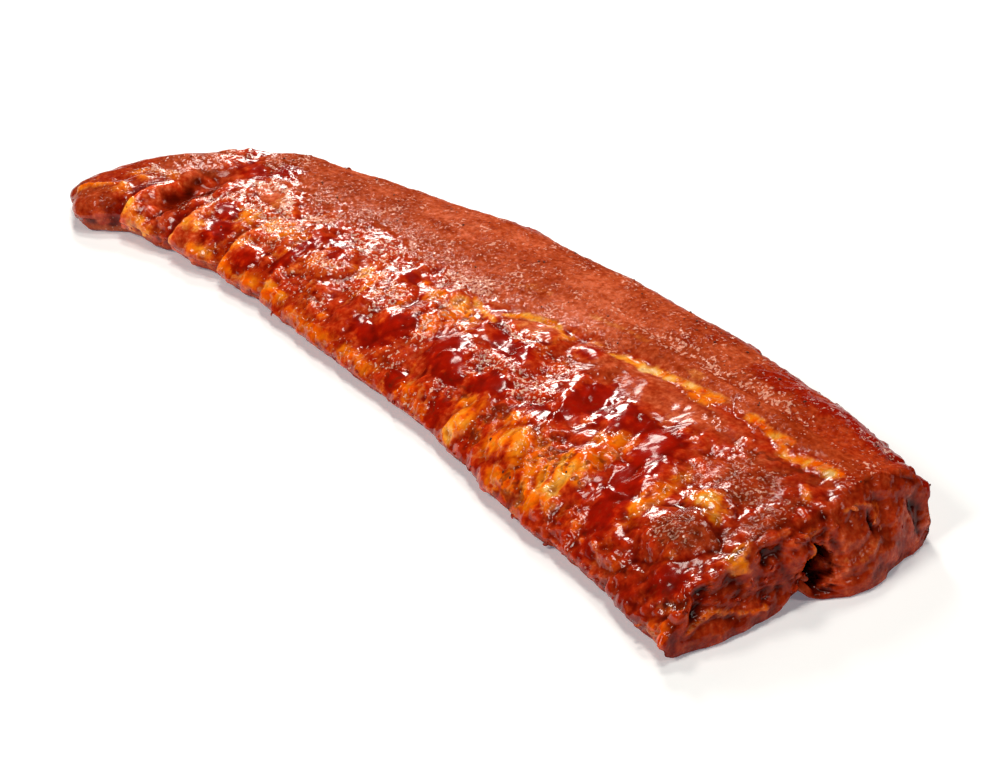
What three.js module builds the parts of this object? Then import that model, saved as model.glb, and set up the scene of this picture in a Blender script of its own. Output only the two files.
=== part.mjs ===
// A rack of back ribs, roasted and glazed, as one closed solid.
// Millimetres, +Z up. The rack lies bone side down, meat side up:
//   +X runs along the rack to the wide cut end, +Y from the rib tips to the chine edge.
// The origin is at the middle of the footprint, on the surface that the rack lies on.
import * as THREE from "three";

// ---- Driving dimensions ----------------------------------------------------

const TIP_X = -230; // narrow end of the rack
const CUT_X = 222; // mean plane of the wide cut end

// Edges of the rack seen from above, as [x, y]: the rib tips, and the chine side.
const RIB_TIP_EDGE = [
  [-230, -71], [-215, -74], [-200, -76], [-186, -67], [-176, -61.5], [-160, -60], [-133, -55], [-98, -53],
  [-58, -55], [-23, -55.5], [10, -56], [46, -57.5], [82, -63], [117, -68.5], [160, -70.5], [205, -77],
  [222, -79.5],
];
const CHINE_EDGE = [
  [-230, -54], [-220, -29], [-180, 26], [-133, 45], [-83, 60], [47, 74], [117, 72], [147, 70], [177, 66],
  [222, 53.7],
];

// Heights as [x, z]: the thin wall at the rib tips, and the crown over the loin.
const WALL_HEIGHT = [[-230, 13], [-205, 15], [-178, 15.5], [-83, 11.5], [117, 11.5], [222, 12.5]];
const CROWN_HEIGHT = [
  [-230, 13.5], [-212, 20], [-190, 23.5], [-133, 25.5], [-63, 29], [47, 33.5], [150, 36], [222, 36],
];

// Rise from the wall to the crown, as [share of the width from the rib tips, share of the rise].
const CROSS_PROFILE = [
  [0, 0], [0.16, 0.5], [0.3, 0.71], [0.45, 0.79], [0.6, 0.88], [0.75, 1], [0.88, 0.92], [1, 0.6],
];

const WALL_ROUNDING = 9; // rounding of the edge along the rib tips
const CHINE_ROUNDING = [[-230, 10], [47, 13], [150, 12], [222, 6]]; // the same along the chine, as [x, radius]
const TIP_ROUNDING = 12; // length over which the narrow end reaches its full width and height
const CUT_BEVEL = 3; // soft edge round the cut end
const CUT_BEVEL_DEPTH = 0.14; // share of the height that the bevel takes away

const RIB_PITCH = 32.5; // from one rib to the next
const FIRST_RIB = { x: 197.5, y: -49 }; // a point on the rib nearest the cut end
const RIB_SLANT = -0.4; // ribs lean to the narrow end as they near the chine, at the wide end only
const RIB_SWELL = 1.5; // meat stands this far above the mean over ribs, and below it between them
const RIB_SIDE_END = 0.62; // share of the width where the swells have died out
const LUMPS = 0.9; // long uneven lumps of the meat

const SCALLOP_DEPTH = 5.5; // bays between the rib tips at the narrow end
const SCALLOP_DEPTH_WIDE = 1.4; // the same towards the wide end
const SCALLOP_SHIFT = 0.15; // the bays lie this share of a pitch off the ribs

const HOLLOW = { height: 6, from: 0.1, to: 0.56 }; // under the curved ribs, by share of the width
const BONE_RIDGE = 2.6; // how far each rib stands out of that hollow
const ARCH = { y: -18, height: 8, width: 6 }; // under the cut end, between rib meat and loin

// A deep fold across the rack beside its last lobe, bent round towards the cut end at both ends.
const FOLD = { x: -178, y: -30, depth: 6, width: 7, reach: 24, bend: 0.0095 };
// The seam between rib meat and loin, a long shallow arc.
const SEAM = { x: 125, y: 21, depth: 1.8, width: 5, bend: 0.0016, from: 12, to: 205 };
// The groove that sets off the strip along the chine.
const CHINE_GROOVE = { x: 125, y: 34.5, depth: 1.8, width: 4, bend: -0.001, from: 30, to: 215 };
// A loose bump of meat by the cut end.
const BUMP = { x: 189, y: -49, height: 2.5, length: 17, width: 13 };

const CUT_LEAN = 0.28; // above the wall the cut leans back this far for each millimetre of height
const CUT_BLEND = 30; // length over which the cut's relief fades into the rack
// What stands out of the cut, or is torn out of it: centre, depth, and half sizes along Y and Z.
const CUT_FEATURES = [
  { name: "loin", y: 12, z: 4, depth: 10, width: 22, height: 22 },
  { name: "lower band of rib meat", y: -47, z: 3, depth: 2.5, width: 26, height: 6 },
  { name: "torn lip over the hollow", y: -13, z: 24, depth: 3, width: 6, height: 4 },
  { name: "hollow between rib meat and loin", y: -8, z: 13, depth: -9, width: 7, height: 8 },
  { name: "groove inside the rib corner", y: -60, z: 22, depth: -4, width: 5, height: 10, slant: 0.45 },
  { name: "seam down the loin", y: 26, z: 26, depth: -2, width: 4, height: 9 },
];

const BODY_RINGS = 100; // cross-sections between the narrow end's rounding and the cut's bevel
const TIP_RINGS = 8;
const BEVEL_RINGS = 3;
const CUT_RINGS = 13;
const TOP_COLUMNS = 26; // points of a cross-section from the rib tips to the chine, over the top
const UNDER_COLUMNS = 14; // points back, underneath

// ---- Small curves ----------------------------------------------------------

// Smooth step from 0 to 1 while t goes from 0 to 1.
const ease = (t) => THREE.MathUtils.smoothstep(t, 0, 1);

// Bell of height 1 round a centre: 1 at the centre, 1/e at one width away.
const bell = (value, centre, width) => Math.exp(-(((value - centre) / width) ** 2));

// Quarter-circle rise from 0 at an edge to 1 at one radius inside it.
function roundedEdge(distance, radius) {
  const t = THREE.MathUtils.clamp(distance / radius, 0, 1);
  return Math.sqrt(1 - (1 - t) ** 2);
}

// Smooth curve through [x, value] points: a cubic between neighbours, its slope at each point
// the weighted mean of the slopes of the two sides.
function curveThrough(points) {
  const chord = (i) => (points[i + 1][1] - points[i][1]) / (points[i + 1][0] - points[i][0]);
  const slopes = points.map((point, i) => {
    if (i === 0) return chord(0);
    if (i === points.length - 1) return chord(i - 1);
    const before = point[0] - points[i - 1][0];
    const after = points[i + 1][0] - point[0];
    return (chord(i - 1) * after + chord(i) * before) / (before + after);
  });
  return (x) => {
    let i = 0;
    while (i < points.length - 2 && x > points[i + 1][0]) i += 1;
    const span = points[i + 1][0] - points[i][0];
    const t = THREE.MathUtils.clamp((x - points[i][0]) / span, 0, 1);
    return (
      (2 * t ** 3 - 3 * t ** 2 + 1) * points[i][1] +
      (t ** 3 - 2 * t ** 2 + t) * span * slopes[i] +
      (3 * t ** 2 - 2 * t ** 3) * points[i + 1][1] +
      (t ** 3 - t ** 2) * span * slopes[i + 1]
    );
  };
}

// ---- Shape of the rack -----------------------------------------------------

const ribTipLine = curveThrough(RIB_TIP_EDGE);
const chineEdge = curveThrough(CHINE_EDGE);
const wallHeight = curveThrough(WALL_HEIGHT);
const crownHeight = curveThrough(CROWN_HEIGHT);
const crossProfile = curveThrough(CROSS_PROFILE);
const chineRounding = curveThrough(CHINE_ROUNDING);

// Ribs are counted from the cut end: whole numbers on a rib, halves between two.
function ribNumber(x, y) {
  const slant = RIB_SLANT * ease((x + 183) / 300);
  return (FIRST_RIB.x - x + slant * (y - FIRST_RIB.y)) / RIB_PITCH;
}

// The rib tips stand out between the bays, most at the narrow end.
function ribTipEdge(x) {
  const line = ribTipLine(x);
  const lobe = Math.abs(Math.sin(Math.PI * (ribNumber(x, line) + SCALLOP_SHIFT))) ** 0.7;
  const depth = THREE.MathUtils.lerp(SCALLOP_DEPTH, SCALLOP_DEPTH_WIDE, ease((x + 173) / 110));
  return line - depth * (lobe - 0.6);
}

// 1 between two places along the rack, fading to 0 over the first and last stretch between them.
const between = (x, { from, to }, fade = 30) => ease((x - from) / fade) * (1 - ease((x - to + fade) / fade));

// Relief of the top: swells over the ribs, the fold, the seam, the chine groove, a loose bump, lumps.
function topRelief(x, y, share) {
  const ribSide = ease(share / 0.08) * (1 - ease((share - RIB_SIDE_END + 0.22) / 0.22));
  const swell = RIB_SWELL * Math.cos(2 * Math.PI * ribNumber(x, y)) * ribSide;

  const foldX = FOLD.x + FOLD.bend * (y - FOLD.y) ** 2;
  const foldShare = 0.75 * bell(y, FOLD.y, FOLD.reach) + 0.25 * ease((FOLD.reach - y) / 20);
  const fold = FOLD.depth * bell(x, foldX, FOLD.width) * foldShare;

  const seamY = SEAM.y - SEAM.bend * (x - SEAM.x) ** 2;
  const seam = SEAM.depth * bell(y, seamY, SEAM.width) * between(x, SEAM);

  const grooveY = CHINE_GROOVE.y - CHINE_GROOVE.bend * (x - CHINE_GROOVE.x) ** 2;
  const groove = CHINE_GROOVE.depth * bell(y, grooveY, CHINE_GROOVE.width) * between(x, CHINE_GROOVE);

  const bump = BUMP.height * bell(x, BUMP.x, BUMP.length) * bell(y, BUMP.y, BUMP.width);
  const lumps = (LUMPS * (Math.sin(x / 23 + y / 17) + Math.sin(x / 11 - y / 19 + 2))) / 2;
  return swell - fold - seam - groove + bump + lumps;
}

function topHeight(x, y, share) {
  const rise = crossProfile(THREE.MathUtils.clamp(share, 0, 1));
  return wallHeight(x) + (crownHeight(x) - wallHeight(x)) * rise + topRelief(x, y, share);
}

// Underneath, the rack is hollow under the ribs, which stand out of it as ridges, and flat elsewhere.
function underHeight(x, y, share) {
  const window = ease((share - HOLLOW.from) / 0.12) * (1 - ease((share - HOLLOW.to + 0.12) / 0.12));
  const ends = ease((x + 215) / 60) * (1 - ease((x - 150) / 50));
  const ridge = Math.max(0, Math.cos(2 * Math.PI * ribNumber(x, y)));
  const hollow = (HOLLOW.height - BONE_RIDGE * ridge) * window * ends;
  const arch = ARCH.height * bell(y, ARCH.y, ARCH.width) * ease((x - 165) / 45);
  return Math.max(hollow, arch);
}

// How far the cut end stands out of its mean plane, at a point (y, z) of the cut.
function cutRelief(y, z) {
  let relief = -CUT_LEAN * Math.max(0, z - wallHeight(CUT_X));
  for (const feature of CUT_FEATURES) {
    const centreY = feature.y + (feature.slant ?? 0) * (z - feature.z);
    relief += feature.depth * bell(y, centreY, feature.width) * bell(z, feature.z, feature.height);
  }
  return relief;
}

// One cross-section: a loop of points over the top from the rib tips to the chine, and back underneath.
function crossSection(x) {
  const front = ribTipEdge(x);
  const back = chineEdge(x);
  const growing = roundedEdge(x - TIP_X, TIP_ROUNDING);
  const blunt = roundedEdge(x - TIP_X, TIP_ROUNDING / 2.4);
  const halfWidth = ((back - front) / 2) * (0.35 + 0.65 * growing) * blunt;
  const middle = (front + back) / 2;
  const endRounding = growing * (1 - CUT_BEVEL_DEPTH * (1 - roundedEdge(CUT_X - x, CUT_BEVEL)));

  const loop = [];
  for (let column = 0; column < TOP_COLUMNS + UNDER_COLUMNS; column += 1) {
    const onTop = column < TOP_COLUMNS;
    const t = onTop ? column / TOP_COLUMNS : 1 - (column - TOP_COLUMNS) / UNDER_COLUMNS;
    // Points lie closer together near both edges, where the section turns.
    const across = (2 * t - 1 + Math.sin(Math.PI * (t - 0.5))) / 2;
    const y = middle + halfWidth * across;
    const share = (y - front) / (back - front);
    const rounding =
      roundedEdge(halfWidth * (1 + across), WALL_ROUNDING) *
      roundedEdge(halfWidth * (1 - across), chineRounding(x)) *
      endRounding;
    const top = topHeight(x, y, share);
    const under = underHeight(x, y, share);
    const core = (wallHeight(x) + under) / 2;
    const z = onTop ? core + rounding * (top - core) : core - rounding * (core - under);
    const blend = ease((x - (CUT_X - CUT_BLEND)) / CUT_BLEND);
    loop.push(new THREE.Vector3(x + blend * cutRelief(y, z), y, Math.max(0, z)));
  }
  return loop;
}

// The cut end: the last cross-section drawn in towards one point, each point on the cut's relief.
function cutRing(rim, hub, share) {
  return rim.map((point) => {
    const y = hub.y + (point.y - hub.y) * share;
    const z = hub.z + (point.z - hub.z) * share;
    return new THREE.Vector3(CUT_X + cutRelief(y, z), y, z);
  });
}

function rackRings() {
  const rings = [];
  for (let k = 1; k < TIP_RINGS; k += 1) {
    const turn = ((k / TIP_RINGS) * Math.PI) / 2;
    rings.push(crossSection(TIP_X + TIP_ROUNDING * (1 - Math.cos(turn))));
  }
  const start = TIP_X + TIP_ROUNDING;
  const end = CUT_X - CUT_BEVEL;
  for (let k = 0; k <= BODY_RINGS; k += 1) rings.push(crossSection(start + ((end - start) * k) / BODY_RINGS));
  for (let k = 1; k <= BEVEL_RINGS; k += 1) {
    const turn = ((k / BEVEL_RINGS) * Math.PI) / 2;
    rings.push(crossSection(end + CUT_BEVEL * Math.sin(turn)));
  }
  return rings;
}

// Joins neighbouring loops of points with triangles and closes both ends with a fan.
function closedLoft(rings, firstPole, lastPole) {
  const columns = rings[0].length;
  const points = [...rings.flat(), firstPole, lastPole];
  const triangles = [];
  for (let ring = 0; ring < rings.length - 1; ring += 1) {
    for (let column = 0; column < columns; column += 1) {
      const next = (column + 1) % columns;
      const a = ring * columns + column;
      const b = ring * columns + next;
      triangles.push(a, a + columns, b + columns, a, b + columns, b);
    }
  }
  const last = (rings.length - 1) * columns;
  for (let column = 0; column < columns; column += 1) {
    const next = (column + 1) % columns;
    triangles.push(points.length - 2, column, next);
    triangles.push(points.length - 1, last + next, last + column);
  }
  const geometry = new THREE.BufferGeometry();
  geometry.setFromPoints(points);
  geometry.setIndex(triangles);
  return geometry;
}

function rackGeometry() {
  const rings = rackRings();
  const rim = rings[rings.length - 1];
  const hub = new THREE.Vector3(0, -8, 15);
  for (let k = 1; k < CUT_RINGS; k += 1) rings.push(cutRing(rim, hub, 1 - k / CUT_RINGS));
  hub.x = CUT_X + cutRelief(hub.y, hub.z);
  const tip = new THREE.Vector3(TIP_X, (ribTipEdge(TIP_X) + chineEdge(TIP_X)) / 2, wallHeight(TIP_X) / 2);

  const geometry = closedLoft(rings, tip, hub);
  geometry.computeBoundingBox();
  const box = geometry.boundingBox;
  geometry.translate(-(box.min.x + box.max.x) / 2, -(box.min.y + box.max.y) / 2, -box.min.z);
  geometry.computeVertexNormals();
  return geometry;
}

// ---- Scene graph -----------------------------------------------------------

const glazedMeat = new THREE.MeshStandardMaterial({ color: 0x9c3516, roughness: 0.3, metalness: 0 });

const ribRack = new THREE.Mesh(rackGeometry(), glazedMeat);
ribRack.name = "rib_rack";

const rackOfRibs = new THREE.Group();
rackOfRibs.add(ribRack);

export default rackOfRibs;
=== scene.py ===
import bpy
import numpy as np
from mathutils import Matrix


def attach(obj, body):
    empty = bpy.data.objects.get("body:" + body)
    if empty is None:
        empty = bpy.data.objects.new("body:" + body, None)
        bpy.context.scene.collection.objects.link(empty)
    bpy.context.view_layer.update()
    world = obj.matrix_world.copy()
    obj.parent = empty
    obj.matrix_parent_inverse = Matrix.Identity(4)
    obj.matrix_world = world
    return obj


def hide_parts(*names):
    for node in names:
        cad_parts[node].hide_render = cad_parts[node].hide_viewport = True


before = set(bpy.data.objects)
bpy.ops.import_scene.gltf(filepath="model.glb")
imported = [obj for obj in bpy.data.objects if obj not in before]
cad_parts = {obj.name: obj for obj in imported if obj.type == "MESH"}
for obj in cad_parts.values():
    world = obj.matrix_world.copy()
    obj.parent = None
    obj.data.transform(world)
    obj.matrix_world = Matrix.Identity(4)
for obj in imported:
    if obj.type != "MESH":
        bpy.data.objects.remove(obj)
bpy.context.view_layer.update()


# ---- The rack ----------------------------------------------------------------------------------
# Roasted back ribs in a glossy sauce: matte loin meat along the chine, sauced meat and fat over
# the ribs, a cut end with torn meat and fat. One closed surface, worked out in millimetres.
# x runs along the rack to the cut end, y from the rib tips to the chine edge, z is up.

TIP, CUT = -230.0, 222.0  # x of the narrow end and of the cut
TIP_RADIUS, RIM_RADIUS = 12, 3  # rounding of the narrow end and of the cut's rim
HUB = (-8.0, 15.0)  # y and z of the middle of the cut face
PITCH = 32.5  # from rib to rib


def curve(points):
    """Cubic through [x, value] points; the slope at a point is the weighted mean of its two chords."""
    px, pv = np.array(points, float).T
    span = np.diff(px)
    chord = np.diff(pv) / span
    inner = (chord[:-1] * span[1:] + chord[1:] * span[:-1]) / (span[1:] + span[:-1])
    slope = np.concatenate([chord[:1], inner, chord[-1:]])

    def value(x):
        i = np.clip(np.searchsorted(px, x, side="left") - 1, 0, len(span) - 1)
        t = np.clip((x - px[i]) / span[i], 0, 1)
        return (
            (2 * t**3 - 3 * t**2 + 1) * pv[i]
            + (t**3 - 2 * t**2 + t) * span[i] * slope[i]
            + (3 * t**2 - 2 * t**3) * pv[i + 1]
            + (t**3 - t**2) * span[i] * slope[i + 1]
        )

    return value


def ease(t):
    """3t^2 - 2t^3, with t held between 0 and 1."""
    t = np.clip(t, 0, 1)
    return t * t * (3 - 2 * t)


def bell(value, centre, width):
    """exp(-((value - centre) / width)^2)."""
    return np.exp(-(((value - centre) / width) ** 2))


def rounded(distance, radius):
    """sqrt(1 - (1 - d/r)^2): a quarter circle from 0 at an edge to 1 at one radius inside it."""
    return np.sqrt(1 - (1 - np.clip(distance / radius, 0, 1)) ** 2)


def between(x, first, last, fade=30.0):
    """1 between two places, easing to 0 over one fade inside both."""
    return ease((x - first) / fade) * (1 - ease((x - last + fade) / fade))


rib_tip_line = curve([
    [-230, -71], [-215, -74], [-200, -76], [-186, -67], [-176, -61.5], [-160, -60], [-133, -55],
    [-98, -53], [-58, -55], [-23, -55.5], [10, -56], [46, -57.5], [82, -63], [117, -68.5], [160, -70.5],
    [205, -77], [222, -79.5],
])
chine_edge = curve([
    [-230, -54], [-220, -29], [-180, 26], [-133, 45], [-83, 60], [47, 74], [117, 72], [147, 70],
    [177, 66], [222, 53.7],
])
wall_height = curve([[-230, 13], [-205, 15], [-178, 15.5], [-83, 11.5], [117, 11.5], [222, 12.5]])
crown_height = curve([
    [-230, 13.5], [-212, 20], [-190, 23.5], [-133, 25.5], [-63, 29], [47, 33.5], [150, 36], [222, 36],
])
cross_profile = curve([
    [0, 0], [0.16, 0.5], [0.3, 0.71], [0.45, 0.79], [0.6, 0.88], [0.75, 1], [0.88, 0.92], [1, 0.6],
])
chine_rounding = curve([[-230, 10], [47, 13], [150, 12], [222, 6]])


def rib_number(x, y):
    """Ribs counted from the cut end: (x0 - x + slant (y - y0)) / pitch, whole numbers on a rib."""
    return (197.5 - x - 0.4 * ease((x + 183) / 300) * (y + 49)) / PITCH


def rib_tip_edge(x):
    """The rib tip line less depth (|sin pi (rib + 0.15)|^0.7 - 0.6), the depth easing from 5.5 to 1.4."""
    line = rib_tip_line(x)
    lobe = np.abs(np.sin(np.pi * (rib_number(x, line) + 0.15))) ** 0.7
    return line - (5.5 - 4.1 * ease((x + 173) / 110)) * (lobe - 0.6)


def top_height(x, y, share):
    """Wall + (crown - wall) profile(share) + swells over the ribs - fold - seam - groove + bump + lumps."""
    rise = cross_profile(np.clip(share, 0, 1))
    swell = (
        1.5 * np.cos(2 * np.pi * rib_number(x, y)) * ease(share / 0.08) * (1 - ease((share - 0.4) / 0.22))
    )
    reach = 0.75 * bell(y, -30, 24) + 0.25 * ease((24 - y) / 20)
    fold = 6 * bell(x, -178 + 0.0095 * (y + 30) ** 2, 7) * reach
    seam = 1.8 * bell(y, 21 - 0.0016 * (x - 125) ** 2, 5) * between(x, 12, 205)
    groove = 1.8 * bell(y, 34.5 + 0.001 * (x - 125) ** 2, 4) * between(x, 30, 215)
    bump = 2.5 * bell(x, 189, 17) * bell(y, -49, 13)
    lumps = 0.9 * (np.sin(x / 23 + y / 17) + np.sin(x / 11 - y / 19 + 2)) / 2
    wall = wall_height(x)
    return wall + (crown_height(x) - wall) * rise + swell - fold - seam - groove + bump + lumps


def under_height(x, y, share):
    """The larger of (6 - 2.6 ridge over each rib) in the hollow's window, and the arch at the cut end."""
    window = ease((share - 0.1) / 0.12) * (1 - ease((share - 0.44) / 0.12))
    ends = ease((x + 215) / 60) * (1 - ease((x - 150) / 50))
    hollow = (6 - 2.6 * np.maximum(0, np.cos(2 * np.pi * rib_number(x, y)))) * window * ends
    return np.maximum(hollow, 8 * bell(y, -18, 6) * ease((x - 165) / 45))


def cut_relief(y, z):
    """-0.28 per millimetre above the wall, plus bells: loin, rib band, torn lip, hollow, groove, seam."""
    relief = -0.28 * np.maximum(0, z - 12.5)
    for cy, cz, depth, width, height, slant in (
        (12, 4, 10, 22, 22, 0),
        (-47, 3, 2.5, 26, 6, 0),
        (-13, 24, 3, 6, 4, 0),
        (-8, 13, -9, 7, 8, 0),
        (-60, 22, -4, 5, 10, 0.45),
        (26, 26, -2, 4, 9, 0),
    ):
        relief = relief + depth * bell(y, cy + slant * (z - cz), width) * bell(z, cz, height)
    return relief


def section(x, across, on_top):
    """Point of a cross-section: y = middle + half width * across, z = core +- rounding (height - core)."""
    front, back = rib_tip_edge(x), chine_edge(x)
    growing = rounded(x - TIP, TIP_RADIUS)
    half = (back - front) / 2 * (0.35 + 0.65 * growing) * rounded(x - TIP, 5)
    y = (front + back) / 2 + half * across
    share = (y - front) / (back - front)
    end = growing * (1 - 0.14 * (1 - rounded(CUT - x, RIM_RADIUS)))
    rounding = rounded(half * (1 + across), 9) * rounded(half * (1 - across), chine_rounding(x)) * end
    under = under_height(x, y, share)
    core = (wall_height(x) + under) / 2
    height = top_height(x, y, share) if on_top else under
    z = np.maximum(0, core + rounding * (height - core))
    return x + ease((x - 192) / 30) * cut_relief(y, z), y, z, share


def even_loop(x, columns, on_top, crowd):
    """Columns at equal steps of length (1 + crowd (e^-9f + 0.4 e^-9b)), f and b from front and back."""
    fine = -np.cos(np.linspace(0, np.pi, 900))[None, :]
    _, y, z, _ = section(x, fine, on_top)
    step = np.hypot(np.diff(y, axis=1), np.diff(z, axis=1)) + 1e-6
    middle = (fine[:, 1:] + fine[:, :-1]) / 2
    step = step * (1 + crowd * (np.exp(-(1 + middle) * 9) + 0.4 * np.exp(-(1 - middle) * 9)))
    length = np.concatenate([np.zeros_like(x), np.cumsum(step, axis=1)], axis=1)
    want = np.arange(columns) / columns
    if not on_top:
        want = 1 - want
    across = np.array([np.interp(want * row[-1], row, fine[0]) for row in length])
    return section(x, across, on_top)


def gradient_noise(p, size, seed):
    """1.6 sum over the corners of a point's cell of gradient . offset, faded by 6t^5 - 15t^4 + 10t^3."""
    rng = np.random.default_rng(seed)
    table = np.tile(rng.permutation(256), 2)
    gradients = rng.normal(size=(256, 3))
    gradients /= np.linalg.norm(gradients, axis=1, keepdims=True)
    q = p / np.asarray(size, float)
    cell = np.floor(q).astype(int)
    inside = q - cell
    fade = inside**3 * (inside * (inside * 6 - 15) + 10)
    total = 0.0
    for corner in np.ndindex(2, 2, 2):
        k = (cell + corner) & 255
        pick = gradients[table[table[table[k[..., 0]] + k[..., 1]] + k[..., 2]]]
        weight = np.prod(np.where(corner, fade, 1 - fade), axis=-1)
        total = total + weight * np.sum(pick * (inside - corner), axis=-1)
    return total * 1.6


def cloud(p, size, seed, octaves):
    """Sum of 0.5^k noise(p, size / 2^k) over the octaves."""
    size = np.asarray(size, float)
    return sum(0.5**k * gradient_noise(p, size / 2**k, seed + k) for k in range(octaves))


def soften(field, times):
    """Repeats (left + 2 own + right) / 4 along both directions; the grid is closed round the section."""
    for _ in range(times):
        field = (np.roll(field, 1, 1) + 2 * field + np.roll(field, -1, 1)) / 4
        padded = np.concatenate([field[:1], field, field[-1:]])
        field = (padded[:-2] + 2 * padded[1:-1] + padded[2:]) / 4
    return field


def ellipse(x, y, cx, cy, rx, ry, turn):
    """Distance from an ellipse's centre in units of its own radius, the ellipse turned by degrees."""
    c, s = np.cos(np.radians(turn)), np.sin(np.radians(turn))
    u, v = (x - cx) * c + (y - cy) * s, (y - cy) * c - (x - cx) * s
    return np.hypot(u / rx, v / ry)


def line_distance(x, y, points):
    """Distance to the nearest of the segments between successive points."""
    best = np.full(np.shape(x), 1e9)
    for (ax, ay), (bx, by) in zip(points[:-1], points[1:]):
        t = np.clip(((x - ax) * (bx - ax) + (y - ay) * (by - ay)) / ((bx - ax) ** 2 + (by - ay) ** 2), 0, 1)
        best = np.minimum(best, np.hypot(x - ax - t * (bx - ax), y - ay - t * (by - ay)))
    return best


# The bare form: cross-sections from the tip to the cut's rim, then the rim drawn in towards the hub.
TOP_COLUMNS, UNDER_COLUMNS, CUT_RINGS = 144, 60, 40
nose = np.arange(1, 10) / 10 * np.pi / 2
run = np.linspace(0, 1, 400)
bevel = np.arange(1, 6) / 5 * np.pi / 2
ring_x = np.concatenate([
    TIP + TIP_RADIUS * (1 - np.cos(nose)),
    TIP + TIP_RADIUS + (CUT - TIP - TIP_RADIUS - RIM_RADIUS) * (run + 0.12 * run * (1 - run)),
    CUT - RIM_RADIUS + RIM_RADIUS * np.sin(bevel),
])[:, None]
top = even_loop(ring_x, TOP_COLUMNS, True, 0.6)
under = even_loop(ring_x, UNDER_COLUMNS, False, 3.0)
form = np.stack([np.concatenate([a, b], axis=1) for a, b in zip(top[:3], under[:3])], axis=-1)
share = np.concatenate([top[3], under[3]], axis=1)
draw = (1 - np.arange(1, CUT_RINGS) / CUT_RINGS)[:, None]
cut_y = HUB[0] + (form[-1, :, 1] - HUB[0]) * draw
cut_z = HUB[1] + (form[-1, :, 2] - HUB[1]) * draw
form = np.concatenate([form, np.stack([CUT + cut_relief(cut_y, cut_z), cut_y, cut_z], axis=-1)])
share = np.concatenate([share, np.repeat(share[-1:], CUT_RINGS - 1, axis=0)])


def outward(points):
    """Unit normals of the grid: (change along the rack) x (change round the section)."""
    along = np.gradient(points, axis=0)
    around = (np.roll(points, -1, 1) - np.roll(points, 1, 1)) / 2
    normal = np.cross(along, around)
    return normal / (np.linalg.norm(normal, axis=-1, keepdims=True) + 1e-12)


normal = outward(form)
x, y, z = np.moveaxis(form, -1, 0)

# Shares, 0 to 1: the cut face, the upper side, the underside, and all but the cut and the underside.
on_cut = ease((soften(normal[..., 0] * (x > 200), 2) - 0.45) / 0.3)
on_top = ease((normal[..., 2] + 0.15) / 0.4) * (1 - on_cut)
on_under = ease((-normal[..., 2] - 0.25) / 0.4) * (1 - on_cut)
outside = 1 - on_cut - on_under

# Noise that several parts of the surface share; across_ribs stretches it along the ribs.
across_ribs = np.stack([rib_number(x, y) * PITCH, y, z], axis=-1)
broad = cloud(form, 26, 1, 2)
middle = cloud(form, 9, 5, 2)
small = cloud(form, 4, 9, 2)
grain = cloud(form, 2.3, 13, 2)
strands = cloud(across_ribs, (4, 16, 8), 17, 2)

# Loin meat lies behind this line; the sauced rib side in front of it.
boundary = curve([
    [-230, 30], [-185, 12], [-160, -2], [-110, 2], [-60, 6], [0, 3], [22, 2], [40, 12], [75, 14],
    [100, 19], [130, 20], [165, 20], [200, 15], [230, 8],
])
behind = ease((y - boundary(x) + 7 * middle + 5 * broad + 4) / 11)
loin = behind * outside
rib_side = (1 - behind) * outside


def patches(rows, inner, fade, wobble, where=1.0):
    """Largest amount (1 - ease((edge + wobble - inner) / fade)); rows [x, y, rx, ry, turn, amount]."""
    best = np.zeros_like(x)
    for cx, cy, rx, ry, angle, amount in rows:
        edge = ellipse(x, y, cx, cy, rx, ry, angle) + wobble
        best = np.maximum(best, amount * (1 - ease((edge - inner) / fade)))
    return best * where


def ridges(rows, inner, fade, wobble, where=1.0):
    """The same along lines of points, as [points, half width, amount]."""
    best = np.zeros_like(x)
    for points, width, amount in rows:
        edge = line_distance(x, y, points) / width + wobble
        best = np.maximum(best, amount * (1 - ease((edge - inner) / fade)))
    return best * where


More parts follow.
